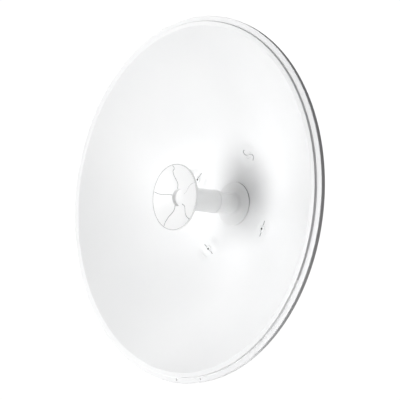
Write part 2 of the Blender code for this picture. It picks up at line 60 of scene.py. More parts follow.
# Studio: a dim white room, with a front light and two key lights ahead of the dish, four weaker lights round
# it and two behind. All are round and soft. The pale floor lies well below and throws no light back.
scene.view_settings.view_transform = "Standard"
seen_level = 1.05
room_levels = [("Y", -1, 0.03), ("Y", 1, 0.12), ("Z", -1, 0.055), ("Z", 1, 0.12)]
light_width = 1.7
light_distance = 2.6
light_target = Vector((0.0, -0.2, 0.0))
lights = {
    "front_light": ((0.0, -1.0, 0.0), 8.4),
    "key_light": ((-0.309, -0.951, 0.0), 36.1),
    "low_key_light": ((-0.155, -0.951, -0.268), 16.3),
    "top_right_light": ((0.442, -0.469, 0.765), 11.4),
    "top_left_light": ((-0.442, -0.469, 0.765), 10.3),
    "low_left_light": ((-0.442, -0.469, -0.765), 7.5),
    "low_right_light": ((0.442, -0.469, -0.765), 13.6),
    "rear_light": ((-0.25, 0.92, 0.30), 25.0),
    "low_rear_light": ((-0.50, 0.45, -0.74), 24.0),
}
floor_height = -1.5
floor_radius = 30.0


def math_node(tree, operation, *values):
    """Math node that takes plain numbers or the outputs of other nodes."""
    node = tree.nodes.new("ShaderNodeMath")
    node.operation = operation
    for socket, value in zip(node.inputs, values):
        if isinstance(value, bpy.types.NodeSocket):
            tree.links.new(value, socket)
        else:
            socket.default_value = value
    return node


world = bpy.data.worlds.new("white_room")
scene.world = world
world.use_nodes = True
room = world.node_tree
background = room.nodes["Background"]
background.inputs["Color"].default_value = (1.0, 1.0, 1.0, 1.0)
way = room.nodes.new("ShaderNodeSeparateXYZ")
room.links.new(room.nodes.new("ShaderNodeTexCoord").outputs["Generated"], way.inputs["Vector"])
level = 0.0
for axis, side, strength in room_levels:
    facing = math_node(room, "MULTIPLY", way.outputs[axis], side)
    facing.use_clamp = True
    squared = math_node(room, "POWER", facing.outputs["Value"], 2.0)
    share = math_node(room, "MULTIPLY_ADD", squared.outputs["Value"], strength, level)
    level = share.outputs["Value"]
seen = room.nodes.new("ShaderNodeMix")
seen.data_type = "FLOAT"
seen.inputs["B"].default_value = seen_level
room.links.new(room.nodes.new("ShaderNodeLightPath").outputs["Is Camera Ray"], seen.inputs["Factor"])
room.links.new(level, seen.inputs["A"])
room.links.new(seen.outputs["Result"], background.inputs["Strength"])

for name, (light_way, watts) in lights.items():
    light_way = Vector(light_way).normalized()
    lamp = bpy.data.lights.new(name, "AREA")
    lamp.shape = "DISK"
    lamp.size = light_width
    lamp.energy = watts
    stand = bpy.data.objects.new(name, lamp)
    stand.location = light_target + light_way * light_distance
    stand.rotation_mode = "QUATERNION"
    stand.rotation_quaternion = (-light_way).to_track_quat("-Z", "Y")
    stand.visible_camera = False
    scene.collection.objects.link(stand)

bpy.ops.mesh.primitive_circle_add(
    vertices=64, radius=floor_radius, fill_type="NGON", location=(0, 0, floor_height))
floor = bpy.context.object
floor.name = "floor"
floor.visible_diffuse = False
floor.visible_glossy = False
floor.visible_shadow = False
floor_paint = bpy.data.materials.new("floor_paint")
floor_paint.use_nodes = True
floor_shader = floor_paint.node_tree.nodes["Principled BSDF"]
floor_looks = {
    "Base Color": (0.9, 0.9, 0.9, 1.0), "Roughness": 0.8, "Emission Color": (1.0, 1.0, 1.0, 1.0),
    "Emission Strength": 1.0}
for look, value in floor_looks.items():
    floor_shader.inputs[look].default_value = value
floor.data.materials.append(floor_paint)


# Reflector: steel sheet spun to a deep parabola and powder coated white, with a raised land, a step and a
# flat lip round its mouth and a short flange turned back. Four bolt seats are pressed into the bowl, and two
# holes in the lip let rain out.
front_plane = -0.28456
rim_radius = 0.325
lip_depth = 0.0007
flange_depth = 0.0087
focal_length = 0.1485
land_inner = 0.307
land_outer = 0.3146
land_depth = -0.0028
sheet = 0.002
hub_hole = 0.031
back_outer = 0.306
front_steps = 68
back_steps = 34
bowl_sides = 256
weld_gap = 1e-6
bolt_half = 0.07235
seat_depth = 0.13824
seat_radius = 0.013
seat_back_depth = 0.14453
bolt_hole = 0.0044
seat_flat = 0.0073
seat_falloff = 0.020
seat_back_falloff = 0.0022
drain_radius = 0.0018
drain_reach = 0.3200
dot_reach = 0.3246
drain_angles = (258.8, 269.6)
drain_start = -0.002
drain_end = 0.012


def bowl_depth(radius):
    """Depth of the bowl's front surface at a radius."""
    return land_depth + (land_inner ** 2 - radius ** 2) / (4 * focal_length)


def bowl_back_depth(radius):
    """Depth of the bowl's back surface at a radius."""
    return bowl_depth(radius) + sheet * math.sqrt(1 + (radius / (2 * focal_length)) ** 2)


def bend_corners(corners, steps):
    """Turn (radius, depth, bend) corners of a closed outline into points, with an arc at each bend."""
    points = []
    for number, (radius, depth, bend) in enumerate(corners):
        here = Vector((radius, depth))
        if bend == 0:
            points.append(tuple(here))
            continue
        before = (Vector(corners[number - 1][:2]) - here).normalized()
        after = (Vector(corners[(number + 1) % len(corners)][:2]) - here).normalized()
        half = before.angle(after) / 2
        reach = bend / math.tan(half)
        centre = here + (before + after).normalized() * bend / math.sin(half)
        first = here + before * reach - centre
        last = here + after * reach - centre
        for step in range(steps + 1):
            spoke = first.normalized().slerp(last.normalized(), step / steps)
            points.append(tuple(centre + spoke * bend))
    return points


def spin_outline(name, corners, sides, steps=5):
    """Draw a closed outline with extrusions and spin it about the beam axis."""
    outline = bend_corners(corners, steps)
    bpy.ops.mesh.primitive_plane_add(size=0.01, location=(outline[0][0], front_plane + outline[0][1], 0))
    piece = bpy.context.object
    piece.name = name
    bpy.ops.object.transform_apply()
    bpy.context.tool_settings.mesh_select_mode = (True, False, False)
    bpy.ops.object.mode_set(mode="EDIT")
    bpy.ops.mesh.select_all(action="SELECT")
    bpy.ops.mesh.merge(type="CENTER")
    for (radius, depth), (next_radius, next_depth) in zip(outline, outline[1:] + outline[:1]):
        move = (next_radius - radius, next_depth - depth, 0)
        bpy.ops.mesh.extrude_vertices_move(TRANSFORM_OT_translate={"value": move})
    bpy.ops.mesh.select_all(action="SELECT")
    bpy.ops.mesh.remove_doubles(threshold=weld_gap)
    bpy.ops.mesh.select_all(action="SELECT")
    bpy.ops.mesh.spin(steps=sides, angle=2 * math.pi, center=(0, 0, 0), axis=(0, 1, 0))
    bpy.ops.mesh.select_all(action="SELECT")
    bpy.ops.mesh.remove_doubles(threshold=weld_gap)
    bpy.ops.mesh.delete_loose(use_verts=True, use_edges=True, use_faces=False)
    bpy.ops.mesh.select_all(action="SELECT")
    bpy.ops.mesh.normals_make_consistent(inside=False)
    bpy.ops.object.mode_set(mode="OBJECT")
    return piece


def pick(piece):
    """Select one piece alone and make it the active one."""
    bpy.ops.object.select_all(action="DESELECT")
    piece.select_set(True)
    bpy.context.view_layer.objects.active = piece


def deselect(items):
    """Deselect all vertices, edges or faces of a mesh."""
    items.foreach_set("select", [False] * len(items))


def combine(piece, operation, tool):
    """Cut, fuse or intersect a piece with a tool mesh and remove the tool."""
    pick(piece)
    merge = piece.modifiers.new("merge", "BOOLEAN")
    merge.operation = operation
    merge.solver = "MANIFOLD"
    merge.object = tool
    bpy.ops.object.modifier_apply(modifier=merge.name)
    bpy.data.objects.remove(tool)


def cut_away(piece, cutters):
    """Join a list of tool meshes and cut them out of a piece."""
    bpy.ops.object.select_all(action="DESELECT")
    for cutter in cutters:
        cutter.select_set(True)
    bpy.context.view_layer.objects.active = cutters[0]
    if len(cutters) > 1:
        bpy.ops.object.join()
    combine(piece, "DIFFERENCE", bpy.context.object)


def rod(radius, length, centre, turn, sides):
    """Round bar about its centre, to cut a hole with."""
    bpy.ops.mesh.primitive_cylinder_add(
        vertices=sides, radius=radius, depth=length, location=centre, rotation=turn)
    bpy.ops.object.transform_apply()
    return bpy.context.object


def drill(radius, x, z, depth, far_depth, sides=32):
    """Tool for a round hole along the beam, from one depth to another."""
    centre = (x, front_plane + (depth + far_depth) / 2, z)
    return rod(radius, far_depth - depth, centre, (math.pi / 2, 0, 0), sides)


def finish_piece(piece, material, nodes, angle=35.0):
    """Give a piece its shading and material, and put it in the place of its nodes."""
    pick(piece)
    bpy.ops.object.shade_smooth_by_angle(angle=math.radians(angle))
    piece.data.materials.clear()
    piece.data.materials.append(material)
    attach(piece, "root")
    if nodes:
        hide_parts(*nodes)


bowl_radii = [hub_hole + (land_inner - hub_hole) * step / front_steps for step in range(front_steps)]
back_radii = [hub_hole + (back_outer - hub_hole) * step / back_steps for step in range(back_steps)]
rim_corners = [
    (land_inner, land_depth, 0.0015),
    (land_outer, land_depth + 0.0002, 0.0005),
    (land_outer + 0.0011, lip_depth + 0.0010, 0.0003),
    (land_outer + 0.0026, lip_depth, 0.0005),
    (rim_radius, lip_depth, 0.0009),
    (rim_radius, flange_depth, 0.0004),
    (rim_radius - sheet, flange_depth, 0.0004),
    (rim_radius - sheet, lip_depth + sheet, 0.0006),
    (land_outer, lip_depth + sheet, 0.0004),
    (land_outer - 0.0014, -0.0006, 0.0004),
    (land_inner + 0.0010, -0.0008, 0.0006),
]
reflector_corners = [(radius, bowl_depth(radius), 0) for radius in bowl_radii]
reflector_corners += rim_corners
reflector_corners += [(radius, bowl_back_depth(radius), 0) for radius in back_radii[::-1]]
reflector = spin_outline("reflector_shell", reflector_corners, bowl_sides)

bolt_sides = ((1, 1), (-1, 1), (-1, -1), (1, -1))
bolt_places = [(across * bolt_half, up * bolt_half) for across, up in bolt_sides]


def near_bolt(point, reach):
    """Whether a point lies within reach of the line of a bolt."""
    return any(math.hypot(point.x - x, point.z - z) < reach for x, z in bolt_places)


pick(reflector)
mesh = reflector.data
deselect(mesh.vertices)
deselect(mesh.edges)
for face in mesh.polygons:
    face.select = near_bolt(face.center, seat_radius + 0.005)
bpy.context.tool_settings.mesh_select_mode = (False, False, True)
bpy.ops.object.mode_set(mode="EDIT")
bpy.ops.mesh.subdivide(number_cuts=3)
bpy.ops.object.mode_set(mode="OBJECT")

bpy.context.tool_settings.mesh_select_mode = (True, False, False)
for front in (True, False):
    level = front_plane + (seat_depth if front else seat_back_depth)
    reach = seat_flat if front else seat_radius + sheet
    falloff = seat_falloff if front else seat_back_falloff
    for x, z in bolt_places:
        deselect(mesh.polygons)
        deselect(mesh.edges)
        for corner in mesh.vertices:
            facing = corner.normal.y < 0 if front else corner.normal.y > 0
            corner.select = facing and math.hypot(corner.co.x - x, corner.co.z - z) < reach
        bpy.ops.object.mode_set(mode="EDIT")
        bpy.ops.transform.resize(
            value=(1, 0, 1), center_override=(0, level, 0), use_proportional_edit=True,
            use_proportional_connected=True, proportional_edit_falloff="SMOOTH", proportional_size=falloff)
        bpy.ops.object.mode_set(mode="OBJECT")


def smooth_path(points, steps=12):
    """Run a smooth line through flat points."""
    ends = [points[0]] + list(points) + [points[-1]]
    path = []
    for before, first, last, after in zip(ends, ends[1:], ends[2:], ends[3:]):
        for step in range(steps):
            share = step / steps
            path.append(tuple(
                0.5 * (2 * q + (r - p) * share + (2 * p - 5 * q + 4 * r - t) * share ** 2
                       + (3 * q - p - 3 * r + t) * share ** 3)
                for p, q, r, t in zip(before, first, last, after)))
    return path + [tuple(points[-1])]


def groove_tool(points, radius):
    """Round bar along a path, to cut a groove into a surface."""
    curve = bpy.data.curves.new("groove", "CURVE")
    curve.dimensions = "3D"
    line = curve.splines.new("POLY")
    line.points.add(len(points) - 1)
    for place, point in zip(line.points, points):
        place.co = (*point, 1.0)
    curve.bevel_depth = radius
    curve.bevel_resolution = 2
    curve.use_fill_caps = True
    bar = bpy.data.objects.new("groove", curve)
    scene.collection.objects.link(bar)
    pick(bar)
    bpy.ops.object.convert(target="MESH")
    bpy.ops.object.mode_set(mode="EDIT")
    bpy.ops.mesh.select_all(action="SELECT")
    bpy.ops.mesh.remove_doubles(threshold=weld_gap)
    bpy.ops.mesh.normals_make_consistent(inside=False)
    bpy.ops.object.mode_set(mode="OBJECT")
    return bpy.context.object


# Each seat has a crease across its middle: straight at three bolts, and wavy at the upper right one. The
# points give the way along the rim and the way outwards from the bolt, in millimetres.
crease_radius = 0.0007
crease_reach = crease_radius * 1.12
crease_zone = 0.0175
crease_face_area = 0.000002
creases = [
    [(16.0, 2.7), (16.0, -1.0), (10.8, -3.2), (3.0, -2.2),
     (-1.5, 2.0), (-6.5, 4.2), (-12.5, 2.4), (-14.2, -3.6)],
    [(2.0, 0.0), (-8.0, -0.6), (-15.4, -2.3)],
    [(-14.4, -1.2), (0.0, 0.2), (13.4, 2.7)],
    [(14.6, -2.5), (0.0, 0.0), (-14.0, 2.2)],
]
crease_paths = []
crease_tools = []
for (x, z), crease in zip(bolt_places, creases):
    outwards = Vector((x, z)).normalized()
    across = Vector((-outwards.y, outwards.x))
    path = []
    for along, out in smooth_path(crease, 24 if len(crease) < 4 else 10):
        flat = Vector((x, z)) + across * along / 1000 + outwards * out / 1000
        path.append(reflector.ray_cast((flat.x, -1.0, flat.y), (0, 1, 0))[1])
    crease_tools.append(groove_tool(path, crease_radius))
    crease_paths.append(path)
cut_away(reflector, crease_tools)


def in_crease(point):
    """Whether a point lies on the wall of a crease."""
    return any((middle - point).length < crease_reach for path in crease_paths for middle in path)


holes = [drill(bolt_hole, x, z, seat_depth - 0.01, seat_back_depth + 0.01) for x, z in bolt_places]
for degrees in drain_angles:
    for drain, reach in ((drain_radius, drain_reach), (drain_radius / 2, dot_reach)):
        x = reach * math.cos(math.radians(degrees))
        z = reach * math.sin(math.radians(degrees))
        holes.append(drill(drain, x, z, drain_start, drain_end, 24))
cut_away(reflector, holes)


def noise_value(tree, place, scale, detail):
    """Noise over the piece's own Object coordinates."""
    noise = tree.nodes.new("ShaderNodeTexNoise")
    noise.inputs["Scale"].default_value = scale
    noise.inputs["Detail"].default_value = detail
    tree.links.new(place, noise.inputs["Vector"])
    return noise.outputs["Fac"]


def spread(tree, value, low, high, from_low=0.3, from_high=0.7):
    """Map a noise onto a range of values."""
    node = tree.nodes.new("ShaderNodeMapRange")
    node.inputs["From Min"].default_value = from_low
    node.inputs["From Max"].default_value = from_high
    node.inputs["To Min"].default_value = low
    node.inputs["To Max"].default_value = high
    tree.links.new(value, node.inputs["Value"])
    return node.outputs["Result"]


def fade(tree, place, way, start, end):
    """Value that runs from 0 to 1 along a way through the Object coordinates."""
    node = tree.nodes.new("ShaderNodeVectorMath")
    node.operation = "DOT_PRODUCT"
    node.inputs[1].default_value = way
    tree.links.new(place, node.inputs[0])
    return spread(tree, node.outputs["Value"], 0.0, 1.0, start, end)


def tint(tree, value, first, second):
    """Blend two colours by a value from 0 to 1."""
    node = tree.nodes.new("ShaderNodeMix")
    node.data_type = "RGBA"
    node.inputs["A"].default_value = (*first, 1.0)
    node.inputs["B"].default_value = (*second, 1.0)
    tree.links.new(value, node.inputs["Factor"])
    return node.outputs["Result"]


def raise_surface(tree, height, distance, strength, below=None):
    """Bump from a height, on top of another bump if there is one."""
    node = tree.nodes.new("ShaderNodeBump")
    node.inputs["Distance"].default_value = distance
    node.inputs["Strength"].default_value = strength
    tree.links.new(height, node.inputs["Height"])
    if below:
        tree.links.new(below, node.inputs["Normal"])
    return node.outputs["Normal"]


def new_finish(name, metallic=0.0):
    """Start a material and return it with its node tree, its shader and the Object coordinates."""
    made = bpy.data.materials.new(name)
    made.use_nodes = True
    shader = made.node_tree.nodes["Principled BSDF"]
    shader.inputs["Metallic"].default_value = metallic
    place = made.node_tree.nodes.new("ShaderNodeTexCoord").outputs["Object"]
    return made, made.node_tree, shader, place


def new_mottle(name, first, second, cloud, gloss, grain=None, metallic=0.0):
    """Material that blends two colours, with uneven gloss and a fine grain.

    The cloud is the scale and detail of the noise that blends them, or the way, start and end of a fade.
    The gloss is a noise and the lowest and highest roughness. The grain is a noise, the height of its bump
    and its strength; without a noise it follows the cloud.
    """
    made, tree, shader, place = new_finish(name, metallic)
    if len(cloud) == 3:
        blend = fade(tree, place, *cloud)
    else:
        blend = spread(tree, noise_value(tree, place, *cloud), 0.0, 1.0)
    tree.links.new(tint(tree, blend, first, second), shader.inputs["Base Color"])
    scale, detail, low, high = gloss
    rough = spread(tree, noise_value(tree, place, scale, detail), low, high)
    tree.links.new(rough, shader.inputs["Roughness"])
    if grain:
        *noise, height, strength = grain
        relief = noise_value(tree, place, *noise) if noise else blend
        tree.links.new(raise_surface(tree, relief, height, strength), shader.inputs["Normal"])
    return made


def new_coat(name, first, second, cloud=(7.0, 3.0)):
    """White powder coat with a fine orange peel."""
    made = new_mottle(name, first, second, cloud, (60.0, 3.0, 0.30, 0.38), (420.0, 2.0, 0.00006, 0.5))
    shader = made.node_tree.nodes["Principled BSDF"]
    shader.inputs["Coat Weight"].default_value = 0.15
    shader.inputs["Coat Roughness"].default_value = 0.25
    return made


powder_coat = new_coat("powder_coat", (0.865, 0.870, 0.875), (0.885, 0.888, 0.890))
# Painted shade: this coat runs from white to grey towards the lower right.
lip_shade_fade = ((0.87, 0.0, -0.50), 0.0, 0.32)
lip_shade_coat = new_coat("lip_shade_coat", (0.885, 0.888, 0.890), (0.770, 0.775, 0.780), lip_shade_fade)
# Painted shade: a grey coat for the step's wall where it faces away from the lights.
step_shade_coat = new_coat("step_shade_coat", (0.54, 0.54, 0.55), (0.64, 0.64, 0.65))
finish_piece(reflector, powder_coat, ["reflector"])

# Painted shade: dark grey for the beds of the creases, in the bowl and on the bolt heads.
crease_shade = new_mottle(
    "crease_shade", (0.16, 0.16, 0.17), (0.34, 0.34, 0.35), (90.0, 3.0), (300.0, 2.0, 0.60, 0.80),
    (0.00005, 0.4))
for coat in (crease_shade, lip_shade_coat, step_shade_coat):
    reflector.data.materials.append(coat)

# Painted shade: the land and the lip are painted a little greyer towards the lower right. The step is painted
# darker from the top round to the lower right, where its wall faces away from the lights. The crease beds are
# painted dark grey as the shade in them.
shade_start_low = 0.75
shade_start_high = -0.15
step_start = land_outer + 0.0003
step_stop = land_outer + 0.0014
lip_back = front_plane + 0.0024
for face in reflector.data.polygons:
    radius = math.hypot(face.center.x, face.center.z)
    if radius > land_inner + 0.001 and face.normal.y < 0.05 and face.center.y < lip_back:
        shade_start = shade_start_low if face.center.z < 0 else shade_start_high
        if step_start < radius < step_stop and face.center.x > shade_start * radius:
            face.material_index = 3
        elif face.normal.y < -0.7:
            face.material_index = 2
    elif near_bolt(face.center, crease_zone) and face.area < crease_face_area and in_crease(face.center):
        face.material_index = 1

# Seat ring: a moulded ring that clamps the reflector at its middle and holds the foot of the feed tube.
# It is white plastic, with a thin edge over a seal painted as the shade in the gap under it, dark at the top
# and lighter below, a fillet up to the tube and a spigot through the back plate.
tube_radius = 0.0194
spigot_radius = 0.0305
plate_back = 0.15956
ring_radius = 0.0424
ring_top = bowl_depth(ring_radius) - 0.0030
ring_edge = 0.0012
seal_radius = ring_radius + 0.0001
ring_corners = [
    (tube_radius + 0.0001, ring_top - 0.0056, 0),
    (tube_radius + 0.0004, ring_top - 0.0054, 0.0001),
    (tube_radius + 0.0004, ring_top, 0.0050),
    (ring_radius, ring_top, 0.0004),
    (ring_radius, ring_top + ring_edge, 0),
    (seal_radius, ring_top + ring_edge + 0.0001, 0),
    (seal_radius, bowl_depth(seal_radius) - 0.0003, 0),
    (spigot_radius, bowl_depth(hub_hole) - 0.0003, 0),
    (spigot_radius, plate_back, 0.0004),
    (tube_radius + 0.0001, plate_back, 0),
]
seat_ring = spin_outline("seat_ring", ring_corners, 160)


def new_plastic(name, first, second):
    """Smooth moulded plastic between two close greys."""
    return new_mottle(name, first, second, (18.0, 2.0), (150.0, 2.0, 0.30, 0.40), (1500.0, 1.0, 0.00003, 0.4))


moulded_white = new_plastic("moulded_white", (0.845, 0.848, 0.850), (0.870, 0.872, 0.872))
seat_white = new_plastic("seat_white", (0.795, 0.798, 0.800), (0.820, 0.822, 0.822))
finish_piece(seat_ring, seat_white, ["hub_ring"])

# Painted shade: the seal runs from near black at the top to light grey below.
seal_shade_fade = ((0.0, 0.0, 1.0), -0.032, 0.002)
seal_shade = new_mottle(
    "seal_shade", (0.80, 0.80, 0.80), (0.18, 0.18, 0.18), seal_shade_fade, (500.0, 2.0, 0.60, 0.75),
    (1800.0, 2.0, 0.00003, 0.5))
seat_ring.data.materials.append(seal_shade)
for face in seat_ring.data.polygons:
    radius = math.hypot(face.center.x, face.center.z)
    if radius > ring_radius - 0.0001 and face.center.y > front_plane + ring_top + ring_edge:
        face.material_index = 1

# Feed: a straight tube from the body behind the dish to a shoulder, then a wider sleeve with a collar that
# carries the splash disc. Both are white moulded tube, and their joint in the shoulder is flush.
tube_bore = 0.0175
sleeve_radius = 0.0218
collar_radius = 0.0228
sleeve_end = 0.1090
shoulder_radius = 0.0206
splash_back = 0.02147
tube_corners = [
    (tube_bore, sleeve_end + 0.0001, 0),
    (shoulder_radius, sleeve_end + 0.0001, 0),
    (tube_radius, sleeve_end + 0.0130, 0.0600),
    (tube_radius, plate_back, 0.0004),
    (tube_bore, plate_back, 0.0003),
]
feed_tube = spin_outline("feed_tube_skin", tube_corners, 128)
finish_piece(feed_tube, moulded_white, ["feed_tube"])

sleeve_corners = [
    (tube_bore, splash_back + 0.0003, 0.0003),
    (sleeve_radius, splash_back + 0.0003, 0.0004),
    (sleeve_radius, 0.0970, 0.0003),
    (collar_radius, 0.0978, 0.0003),
    (collar_radius, 0.0995, 0.0080),
    (sleeve_radius - 0.0004, 0.1045, 0.0200),
    (shoulder_radius, sleeve_end, 0),
    (tube_bore, sleeve_end, 0),
]
feed_sleeve = spin_outline("feed_sleeve_skin", sleeve_corners, 128)
finish_piece(feed_sleeve, moulded_white, ["feed_sleeve"])

# Splash disc: a round moulded cover with a hollow face, a plain recess in the middle, a narrow groove by its
# edge and five wavy joints that run out to it. The joints are painted grey, and the edge groove is painted
# the same grey as shade. A dished metal disc behind throws the signal back at the bowl.
cap_radius = 0.0603
cap_face_depth = -0.00143
cap_edge = 0.0034
cap_hollow = 0.0100
recess_radius = 0.0155
recess_depth = 0.0070
recess_floor = cap_face_depth + cap_hollow + recess_depth
cap_neck = 0.0240
cap_back_depth = recess_floor + 0.003
joint_widths = (0.0012, 0.0009, 0.0012, 0.0011, 0.0005)

# Each joint is a list of distances from the middle in millimetres, with the angle round it in degrees.
joints = [
    [(61.0, 84.0), (54.4, 79.2), (51.0, 79.5), (47.6, 84.7),
     (38.6, 84.4), (29.7, 78.7), (22.4, 74.9), (14.5, 84.0)],
    [(61.0, 152.0), (46.8, 155.0), (37.6, 154.9), (27.6, 151.9), (14.5, 146.0)],
    [(14.5, 227.0), (22.3, 235.3), (30.5, 232.7), (37.6, 227.7),
     (44.9, 226.9), (52.0, 227.2), (61.0, 231.0)],
    [(14.5, 296.5), (25.1, 305.8), (35.2, 299.0), (45.2, 296.6), (61.0, 302.5)],
    [(14.5, 2.0), (26.5, 6.1), (37.2, 12.2), (48.3, 11.1), (61.0, 6.5)],
]


def cap_depth(radius):
    """Depth of the cover's hollow face at a radius."""
    share = max(0.0, (radius - recess_radius) / (cap_radius - 0.001 - recess_radius))
    return cap_face_depth + cap_hollow * (1 - share ** 1.25)


face_steps = 16
face_radii = [recess_radius + (cap_radius - 0.001 - recess_radius) * step / face_steps
              for step in range(1, face_steps)]
cap_corners = [
    (0.0, recess_floor, 0),
    (recess_radius - 0.0008, recess_floor, 0.0006),
    (recess_radius, cap_depth(recess_radius), 0.0005),
]
cap_corners += [(radius, cap_depth(radius), 0.0) for radius in face_radii]
cap_corners += [
    (cap_radius - 0.0017, cap_depth(cap_radius - 0.0017), 0),
    (cap_radius - 0.0016, cap_face_depth + 0.0004, 0),
    (cap_radius - 0.0011, cap_face_depth + 0.0004, 0),
    (cap_radius - 0.0010, cap_face_depth, 0),
    (cap_radius, cap_face_depth, 0.0006),
    (cap_radius, cap_face_depth + cap_edge, 0.0003),
    (cap_radius - 0.0030, cap_face_depth + cap_edge, 0),
    (cap_neck, cap_back_depth, 0),
    (0.0, cap_back_depth, 0),
]
splash_cap = spin_outline("splash_cap_skin", cap_corners, 160)

joint_tools = []
for joint, width in zip(joints, joint_widths):
    path = []
    for reach, degrees in smooth_path(joint):
        radius = reach / 1000
        angle = math.radians(degrees)
        path.append((radius * math.cos(angle), front_plane + cap_depth(radius), radius * math.sin(angle)))
    joint_tools.append(groove_tool(path, width / 2))
cut_away(splash_cap, joint_tools)
finish_piece(splash_cap, moulded_white, ["splash_cap"])

# Grey for the joints, and painted shade in the edge groove.
grey_joints_and_groove_shade = new_mottle(
    "grey_joints_and_groove_shade", (0.20, 0.20, 0.21), (0.30, 0.30, 0.31), (90.0, 2.0), (400.0, 2.0, 0.55, 0.70),
    (0.00004, 0.4))
splash_cap.data.materials.append(grey_joints_and_groove_shade)
for face in splash_cap.data.polygons:
    radius = math.hypot(face.center.x, face.center.z)
    sunk = face.center.y - front_plane - cap_depth(radius)
    in_joint = recess_radius + 0.0008 < radius < cap_radius - 0.0025 and 0.00008 < sunk < 0.002
    in_shaded_groove = cap_radius - 0.00166 < radius < cap_radius - 0.00104 and sunk < 0.001
    if in_joint or in_shaded_groove:
        face.material_index = 1

plate_corners = [
    (0.0, cap_back_depth + 0.0003, 0),
    (cap_neck + 0.0002, cap_back_depth + 0.0003, 0.0015),
    (cap_radius - 0.0028, cap_face_depth + cap_edge + 0.0003, 0.0003),
    (cap_radius - 0.0028, cap_face_depth + cap_edge + 0.0029, 0.0006),
    (cap_neck + 0.0002, splash_back, 0.0015),
    (0.0, splash_back, 0),
]
splash_plate = spin_outline("splash_plate_skin", plate_corners, 160)

turned_aluminium = new_mottle(
    "turned_aluminium", (0.74, 0.75, 0.76), (0.66, 0.67, 0.68), (40.0, 3.0), (25.0, 2.0, 0.30, 0.42),
    metallic=1.0)
tree = turned_aluminium.node_tree
rings = tree.nodes.new("ShaderNodeTexWave")
rings.wave_type = "RINGS"
rings.rings_direction = "Y"
rings.inputs["Scale"].default_value = 320.0
rings.inputs["Distortion"].default_value = 0.4
tree.links.new(tree.nodes["Texture Coordinate"].outputs["Object"], rings.inputs["Vector"])
turning = raise_surface(tree, rings.outputs["Fac"], 0.00002, 0.6)
tree.links.new(turning, tree.nodes["Principled BSDF"].inputs["Normal"])
finish_piece(splash_plate, turned_aluminium, ["splash_plate"])

# Bolts, spacers and nuts: at each corner of the bolt square an M8 button-head bolt passes through the
# reflector, a turned spacer and the back plate into a nut. The low heads are painted white with the dish and
# creased like the seats. Their sockets are painted near black as shade (paint fills the first), and their
# creases dark grey as shade. The rest is zinc-plated steel.
bolt_radius = 0.004
button_radius = 0.0070
button_height = 0.0016
socket_width = 0.0038
socket_reach = 0.0023
nut_corner = 0.0075
nut_height = 0.0068
spacer_radius = 0.0080
plate_front = 0.15656
thread_pitch = 0.00125
thread_shape = ((0.0, 0.0005), (0.15, 0.0005), (0.5, 0.0), (0.62, 0.0))
chamfer_slope = 0.58
dome_slope = -0.93
turned_angle = 28.0
head_face_area = 0.0000004


def thread_corners(radius, start, end, pitch):
    """Zigzag of thread crests and roots from one depth to another."""
    turns = max(1, int(abs(end - start) / pitch))
    step = (end - start) / turns
    corners = []
    for turn in range(turns):
        for share, sunk in thread_shape:
            corners.append((radius - sunk, start + step * (turn + share), 0))
    corners.append((radius - 0.0006, end, 0))
    return corners


def copy_piece(piece, name, shift=(0, 0, 0), turn=None):
    """Copy a piece with a mesh of its own, turn it and move it."""
    pick(piece)
    bpy.ops.object.duplicate()
    twin = bpy.context.object
    twin.name = name
    if turn:
        twin.rotation_euler = turn
    twin.location = shift
    bpy.ops.object.transform_apply()
    return twin


def hexagon(name, corner, start, end, chamfer_front, chamfer_back):
    """Six-sided bar between two depths, with the corners of its ends turned off."""
    bar = drill(corner, 0.0, 0.0, start, end, 6)
    bar.name = name
    flat = corner * math.cos(math.pi / 6)
    cut = (corner - flat) * chamfer_slope
    wide = corner * 1.02
    first = start if chamfer_front else start - 0.0001
    last = end if chamfer_back else end + 0.0001
    blank = [
        (0.0, first, 0),
        (flat if chamfer_front else wide, first, 0),
        (wide, start + (cut if chamfer_front else 0.0001), 0),
        (wide, end - (cut if chamfer_back else 0.0001), 0),
        (flat if chamfer_back else wide, last, 0),
        (0.0, last, 0),
    ]
    combine(bar, "INTERSECT", spin_outline("envelope", blank, 48))
    return bar


def hex_nut(name, corner, radius, start, mouth):
    """Hexagon nut with turned-off corners and a bore that opens at both mouths."""
    end = start + nut_height
    nut = hexagon(name, corner, start, end, True, True)
    bore = [
        (0.0, start - 0.001, 0),
        (radius + mouth, start - 0.001, 0),
        (radius + 0.0003, start + 0.0006, 0),
        (radius + 0.0003, end - 0.0006, 0),
        (radius + mouth, end + 0.001, 0),
        (0.0, end + 0.001, 0),
    ]
    cut_away(nut, [spin_outline("bore", bore, 48)])
    return nut


button_top = seat_depth - 0.0003 - button_height
tail_end = plate_back + 0.0003 + nut_height + 0.003
button_corners = [
    (0.0, button_top, 0),
    (0.0040, button_top + 0.0001, 0.0030),
    (0.0062, button_top + 0.0008, 0.0010),
    (button_radius, seat_depth - 0.0006, 0.0002),
    (button_radius, seat_depth - 0.0003, 0.0001),
    (bolt_radius, seat_depth - 0.0003, 0),
    (bolt_radius, plate_back, 0),
]
button_corners += thread_corners(bolt_radius, plate_back + 0.0002, tail_end - 0.0006, thread_pitch)
button_corners += [(bolt_radius - 0.001, tail_end, 0), (0.0, tail_end, 0)]
button = spin_outline("button", button_corners, 48, 3)
cut_away(button, [drill(socket_width / math.sqrt(3), 0, 0, button_top - 0.001, button_top + 0.0018, 6)])

spacer_corners = [
    (bolt_hole, seat_back_depth + 0.0003, 0.0002),
    (spacer_radius, seat_back_depth + 0.0003, 0.0005),
    (spacer_radius, plate_front - 0.0003, 0.0005),
    (bolt_hole, plate_front - 0.0003, 0.0002),
]
spacer = spin_outline("spacer", spacer_corners, 48, 3)

nut = hex_nut("nut", nut_corner, bolt_radius, plate_back + 0.0003, 0.0009)

